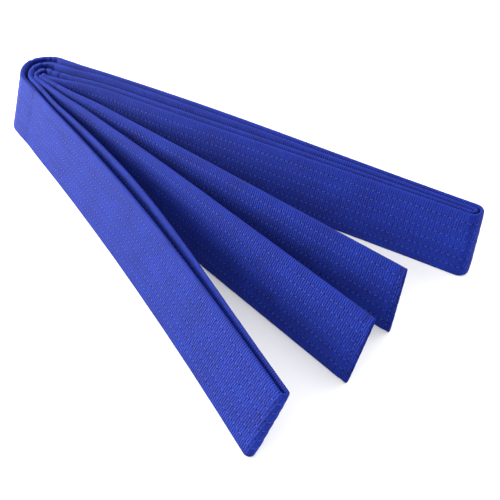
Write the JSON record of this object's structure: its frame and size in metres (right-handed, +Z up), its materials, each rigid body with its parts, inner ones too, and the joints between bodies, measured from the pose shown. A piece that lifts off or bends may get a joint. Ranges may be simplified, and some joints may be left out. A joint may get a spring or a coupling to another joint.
{
  "type": "martial arts belt",
  "caption": "Quilted cotton martial arts belt, 40 mm wide, standing on its edge, folded on itself into a long stack, a doubled limb and two free tails that fan out.",
  "frame": {"origin": "middle of the footprint, on the surface the belt stands on", "axes": "+X along the long stack from its nested bends to its end fold, +Y towards the back of the stack, +Z up across the belt's width"},
  "size_m": [0.3634, 0.201, 0.0382],
  "materials": {
    "cover": "matte",
    "core": "matte",
    "thread": "satin"
  },
  "bodies": {
    "bundle": {"outer_turn_cover": "cover", "outer_turn_core": "core", "outer_turn_stitch_row_1": "thread", "outer_turn_stitch_row_2": "thread", "outer_turn_stitch_row_3": "thread", "outer_turn_stitch_row_4": "thread", "outer_turn_stitch_row_5": "thread", "outer_turn_stitch_row_6": "thread", "inner_turn_cover": "cover", "inner_turn_core": "core", "inner_turn_stitch_row_1": "thread", "inner_turn_stitch_row_2": "thread", "inner_turn_stitch_row_3": "thread", "inner_turn_stitch_row_4": "thread", "inner_turn_stitch_row_5": "thread", "inner_turn_stitch_row_6": "thread"},
    "left_limb": {"left_limb_cover": "cover", "left_limb_core": "core", "left_limb_stitch_row_1": "thread", "left_limb_stitch_row_2": "thread", "left_limb_stitch_row_3": "thread", "left_limb_stitch_row_4": "thread", "left_limb_stitch_row_5": "thread", "left_limb_stitch_row_6": "thread"},
    "tail_one": {"tail_one_cover": "cover", "tail_one_core": "core", "tail_one_stitch_row_1": "thread", "tail_one_stitch_row_2": "thread", "tail_one_stitch_row_3": "thread", "tail_one_stitch_row_4": "thread", "tail_one_stitch_row_5": "thread", "tail_one_stitch_row_6": "thread", "tail_one_end_hem": "cover", "tail_one_hem_stitch": "thread"},
    "tail_two": {"tail_two_cover": "cover", "tail_two_core": "core", "tail_two_stitch_row_1": "thread", "tail_two_stitch_row_2": "thread", "tail_two_stitch_row_3": "thread", "tail_two_stitch_row_4": "thread", "tail_two_stitch_row_5": "thread", "tail_two_stitch_row_6": "thread", "tail_two_end_hem": "cover", "tail_two_hem_stitch": "thread"}
  },
  "joints": [
    {"name": "tail_two_flex", "type": "hinge", "parent": "bundle", "child": "tail_two", "pos_m": [-0.09553, 0.05578, 0.01896], "axis": [0, 0, 1], "range_deg": [-4, 9]},
    {"name": "tail_one_flex", "type": "hinge", "parent": "bundle", "child": "tail_one", "pos_m": [-0.09947, 0.04278, 0.01896], "axis": [0, 0, 1], "range_deg": [-3, 4]},
    {"name": "left_limb_flex", "type": "hinge", "parent": "bundle", "child": "left_limb", "pos_m": [-0.10704, 0.02755, 0.01896], "axis": [0, 0, 1], "range_deg": [-8, 3]}
  ]
}
